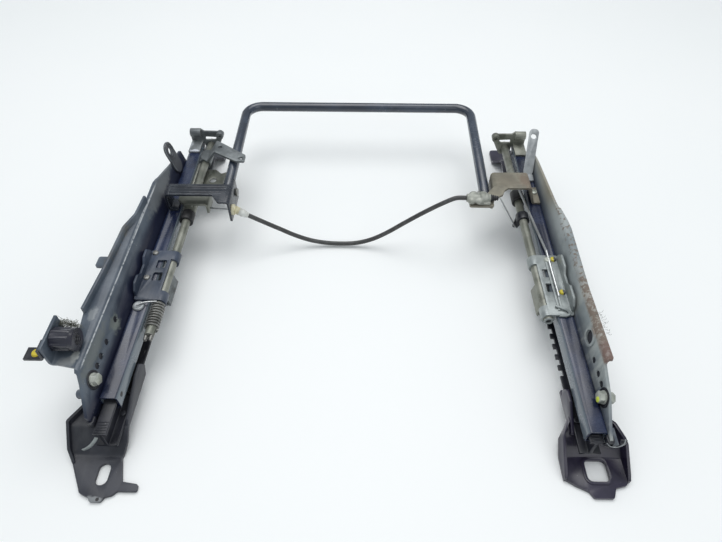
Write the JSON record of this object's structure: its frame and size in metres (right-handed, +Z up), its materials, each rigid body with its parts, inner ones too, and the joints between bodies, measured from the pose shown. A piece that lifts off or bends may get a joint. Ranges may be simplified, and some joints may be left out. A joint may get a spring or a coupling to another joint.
{
  "type": "seat slide rail",
  "caption": "Seat slide rails: channels that slide on fixed lower rails, with latches on torque rods, a U-shaped lift bar and a release cable between the sides.",
  "frame": {"origin": "middle of the bounding box in plan, on the floor under the feet", "axes": "+X across the car towards the right rail, +Y forward to the lift bar, +Z up"},
  "size_m": [0.503, 0.5004, 0.0992],
  "materials": {
    "black_enamel": "satin black enamel with grey wear",
    "navy_enamel": "dark blue-black enamel, dusty",
    "worn_grey": "grey coat with brown rust on the flange",
    "zinc_khaki": "passivated zinc, grey green and dull",
    "bare_steel": "dull plain steel",
    "yellow_mark": "yellow inspection paint",
    "clamp_alloy": "dull cast alloy",
    "cream_plastic": "aged cream plastic",
    "black_plastic": "black plastic sheath"
  },
  "bodies": {
    "floor_rails": {"left_lower_rail": "black_enamel", "right_lower_rail": "black_enamel", "left_rear_foot": "black_enamel", "right_rear_foot": "black_enamel", "left_front_foot": "black_enamel", "right_front_foot": "black_enamel", "left_foot_rivets": "black_enamel", "right_foot_rivets": "black_enamel"},
    "left_upper": {"left_upper_rail": "black_enamel", "left_side_bracket": "navy_enamel", "left_anchor_nut": "bare_steel", "left_hook_tab": "navy_enamel", "left_hook_rivet": "yellow_mark", "left_latch_bracket": "black_enamel", "left_latch_rivets": "bare_steel", "left_wall_bolt": "bare_steel", "left_end_clip": "black_enamel", "left_seat_ear": "navy_enamel", "left_front_arm": "zinc_khaki", "left_front_plate": "zinc_khaki", "left_cable_bracket": "black_enamel", "cable_sheath": "black_plastic", "left_cable_ferrule": "cream_plastic", "left_cable_wire": "bare_steel"},
    "right_upper": {"right_upper_rail": "black_enamel", "right_side_bracket": "worn_grey", "right_latch_bracket": "zinc_khaki", "right_latch_rivets": "yellow_mark", "right_wall_bolt": "bare_steel", "right_end_clip": "black_enamel", "right_seat_ear": "navy_enamel", "right_front_arm": "zinc_khaki", "right_cable_arm": "zinc_khaki", "right_cable_clamp": "clamp_alloy", "right_cable_boot": "black_plastic", "right_cable_wire": "bare_steel", "right_return_wire": "bare_steel"},
    "left_rolling": {"left_balls": "bare_steel", "left_rollers": "bare_steel"},
    "right_rolling": {"right_balls": "bare_steel", "right_rollers": "bare_steel"},
    "bar": {"lift_bar": "black_enamel", "left_pivot_pin": "bare_steel", "right_pivot_pin": "bare_steel"},
    "left_lock": {"left_torque_rod": "zinc_khaki", "left_lock_plate": "zinc_khaki", "left_torsion_spring": "bare_steel", "left_release_lever": "zinc_khaki", "handle_lever": "zinc_khaki", "left_rod_bush": "black_plastic"},
    "right_lock": {"right_torque_rod": "zinc_khaki", "right_lock_plate": "zinc_khaki", "right_release_lever": "zinc_khaki", "right_rod_bush": "black_plastic"}
  },
  "joints": [
    {"name": "left_slide", "type": "slide", "parent": "floor_rails", "child": "left_upper", "axis": [0, 1, 0], "range_m": [-0.024, 0.108]},
    {"name": "right_slide", "type": "slide", "parent": "floor_rails", "child": "right_upper", "axis": [0, 1, 0], "range_m": [-0.024, 0.108]},
    {"name": "left_roll", "type": "slide", "parent": "floor_rails", "child": "left_rolling", "axis": [0, 1, 0], "range_m": [-0.012, 0.054]},
    {"name": "right_roll", "type": "slide", "parent": "floor_rails", "child": "right_rolling", "axis": [0, 1, 0], "range_m": [-0.012, 0.054]},
    {"name": "bar_lift", "type": "hinge", "parent": "left_upper", "child": "bar", "pos_m": [0, 0.07783, 0.0572], "axis": [1, 0, 0], "range_deg": [-7.5, 7.5]},
    {"name": "left_lock_turn", "type": "hinge", "parent": "left_upper", "child": "left_lock", "pos_m": [-0.175, 0.00183, 0.04322], "axis": [0, 1, 0], "range_deg": [-12, 12]},
    {"name": "right_lock_turn", "type": "hinge", "parent": "right_upper", "child": "right_lock", "pos_m": [0.201, 0.00183, 0.04322], "axis": [0, 1, 0], "range_deg": [-12, 12]}
  ],
  "couplings": [
    {"joint": "right_slide", "follows": "left_slide", "ratio": 1},
    {"joint": "left_roll", "follows": "left_slide", "ratio": 0.5},
    {"joint": "right_roll", "follows": "left_slide", "ratio": 0.5},
    {"joint": "left_lock_turn", "follows": "bar_lift", "ratio": -1.6},
    {"joint": "right_lock_turn", "follows": "bar_lift", "ratio": 1.6}
  ]
}
